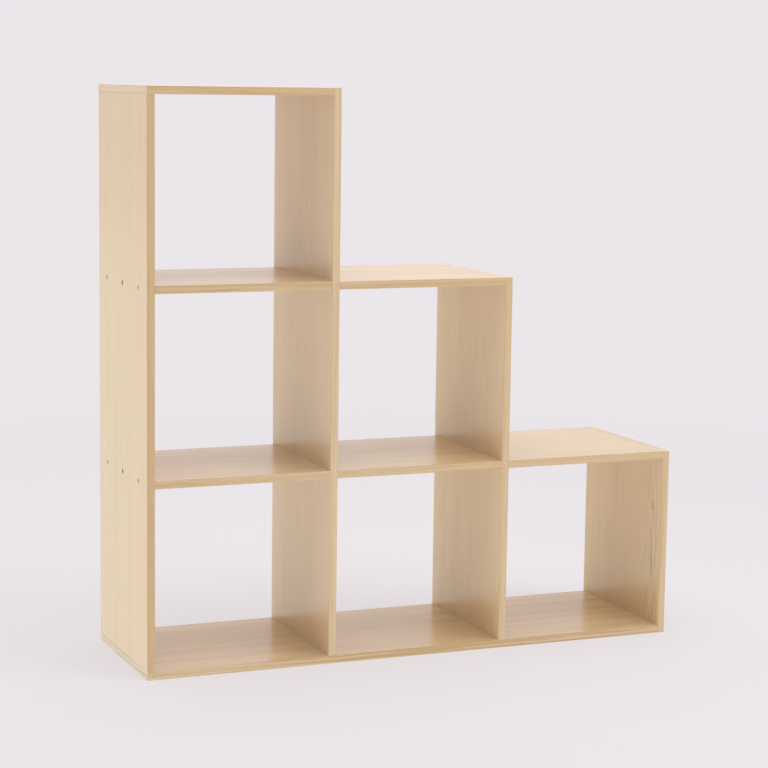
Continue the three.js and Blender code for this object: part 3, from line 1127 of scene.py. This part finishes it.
# %% Rays that show the ground
def seen_rays(tree):
    """(1 for the camera, 1 in gloss or through glass)."""
    rays = add_node(tree, "ShaderNodeLightPath").outputs
    mirrored = [rays["Is Glossy Ray"], rays["Is Transmission Ray"]]
    return rays["Is Camera Ray"], add_node(tree, "ShaderNodeMath", mirrored, operation="MAXIMUM")


# %% The floor's finish
FLOOR_TONE = "#C4C4C4"
FLOOR_LIGHT = 1.07
FLOOR_GLOW = 0.97
SHADOW_SHARE = 0.36
SHADOW_FULL_TO = 1.4
SHADOW_GONE_AT = 3.2
ground, tree = new_finish("pale_ground")
direct, mirrored = seen_rays(tree)
# The lamps light a white floor to 1.07, so its colour under them is divided by that.
under_light = [c / FLOOR_LIGHT for c in linear(GROUND)[:3]] + [1.0]
tones = {0: direct, 6: linear(FLOOR_TONE), 7: under_light}
lit = add_node(tree, "ShaderNodeBsdfPrincipled", {
    "Base Color": add_node(tree, "ShaderNodeMix", tones, data_type="RGBA").outputs[2],
    "Roughness": 0.9,
    "Specular IOR Level": 0.0,
    "Emission Color": WHITE,
    "Emission Strength": add_node(tree, "ShaderNodeMapRange", [direct, 0.0, 1.0, FLOOR_GLOW, 0.0]),
})
place = add_node(tree, "ShaderNodeTexCoord").outputs["Object"]
distance = add_node(tree, "ShaderNodeVectorMath", [place], operation="LENGTH").outputs["Value"]
fading = [distance, SHADOW_FULL_TO, SHADOW_GONE_AT, 1 - SHADOW_SHARE, 1.0]
plain = add_node(tree, "ShaderNodeMapRange", fading)
seen_plain = add_node(tree, "ShaderNodeMath", [direct, plain], operation="MULTIPLY")
share = add_node(tree, "ShaderNodeMath", [seen_plain, mirrored], operation="MAXIMUM")
tints = {0: mirrored, 6: linear(GROUND), 7: WHITE}
tint = add_node(tree, "ShaderNodeMix", tints, data_type="RGBA").outputs[2]
shown = add_node(tree, "ShaderNodeEmission", {"Color": tint, "Strength": 1.0})
both = add_node(tree, "ShaderNodeMixShader", [share, lit, shown])
add_node(tree, "ShaderNodeOutputMaterial", [both])
floor_mesh.materials.append(ground)
print(f"{ground.name}: {len(tree.nodes)} nodes")

# %% [markdown]
# ## Light
#
# Soft light comes from all round: strong lamps above and at the front right, two weaker ones,
# and a dim white world. The camera sees the world in the ground's colour, so floor and distance
# are one. A sky picture could light the scene, but lamps with a size and a strength are easy to
# match, and these were matched to the light on the boards' faces.

# %% World
WORLD_SOFT = 0.29
world = bpy.data.worlds.new("studio")
bpy.context.scene.world = world
world.use_nodes = True
tree = world.node_tree
tree.nodes.clear()
soft = add_node(tree, "ShaderNodeBackground", {"Color": WHITE, "Strength": WORLD_SOFT})
shown = add_node(tree, "ShaderNodeBackground", {"Color": linear(GROUND), "Strength": 1.0})
seen = add_node(tree, "ShaderNodeMath", seen_rays(tree), operation="MAXIMUM")
sky = add_node(tree, "ShaderNodeMixShader", [seen, soft, shown])
add_node(tree, "ShaderNodeOutputWorld", [sky])
print("world strength:", WORLD_SOFT)

# %% Lamps
def soft_lamp(name, place, aim, size, radiance):
    """A large lit panel. Radiance 1 looks as bright as white does."""
    wide, high = size
    data = bpy.data.lights.new(name, "AREA")
    data.shape = "RECTANGLE"
    data.size = wide
    data.size_y = high
    data.energy = radiance * math.pi * wide * high
    lamp = bpy.data.objects.new(name, data)
    bpy.context.scene.collection.objects.link(lamp)
    lamp.location = place
    lamp.rotation_euler = (Vector(aim) - Vector(place)).to_track_quat("-Z", "Y").to_euler()
    lamp.visible_camera = False
    print(f"lamp {name}: {data.energy:.0f} W")


soft_lamp("top", place=(0.0, -0.4, 4.6), aim=(0, 0, 0), size=(4.6, 4.6), radiance=2.38)
soft_lamp("top_back", place=(0.0, 2.6, 3.0), aim=(0, 0, 0.5), size=(3.6, 2.0), radiance=1.08)
soft_lamp("left", place=(-4.2, 0.2, 3.0), aim=(0, 0, 0.9), size=(5.4, 4.0), radiance=0.55)
soft_lamp("front_right", place=(3.9, -3.6, 3.5), aim=(0, 0, 0.4), size=(4.4, 2.7), radiance=2.57)

# %% [markdown]
# ## Camera
#
# The camera's place and focal length could be guessed by eye. These were solved from the boards'
# edges in the photograph, by least squares, to about a pixel.

# %% Camera
PICTURE = 768
FOCAL_PIXELS = 2201.1
SENSOR_MM = 36.0
CAMERA_PLACE = (-1.6558, -3.9354, 1.1000)
CAMERA_YAW = math.radians(22.669)
CAMERA_DIP = math.radians(7.932)
CAMERA_ROLL = math.radians(0.793)
camera_data = bpy.data.cameras.new("camera")
camera_data.sensor_width = SENSOR_MM
camera_data.lens = FOCAL_PIXELS / PICTURE * SENSOR_MM
camera = bpy.data.objects.new("camera", camera_data)
bpy.context.scene.collection.objects.link(camera)
camera.matrix_world = (
    Matrix.Translation(CAMERA_PLACE)
    @ Matrix.Rotation(-CAMERA_YAW, 4, "Z")
    @ Matrix.Rotation(math.pi / 2 - CAMERA_DIP, 4, "X")
    @ Matrix.Rotation(CAMERA_ROLL, 4, "Z")
)
bpy.context.scene.camera = camera
bpy.context.scene.view_settings.view_transform = "Standard"
print("lens:", round(camera_data.lens, 1), "mm")
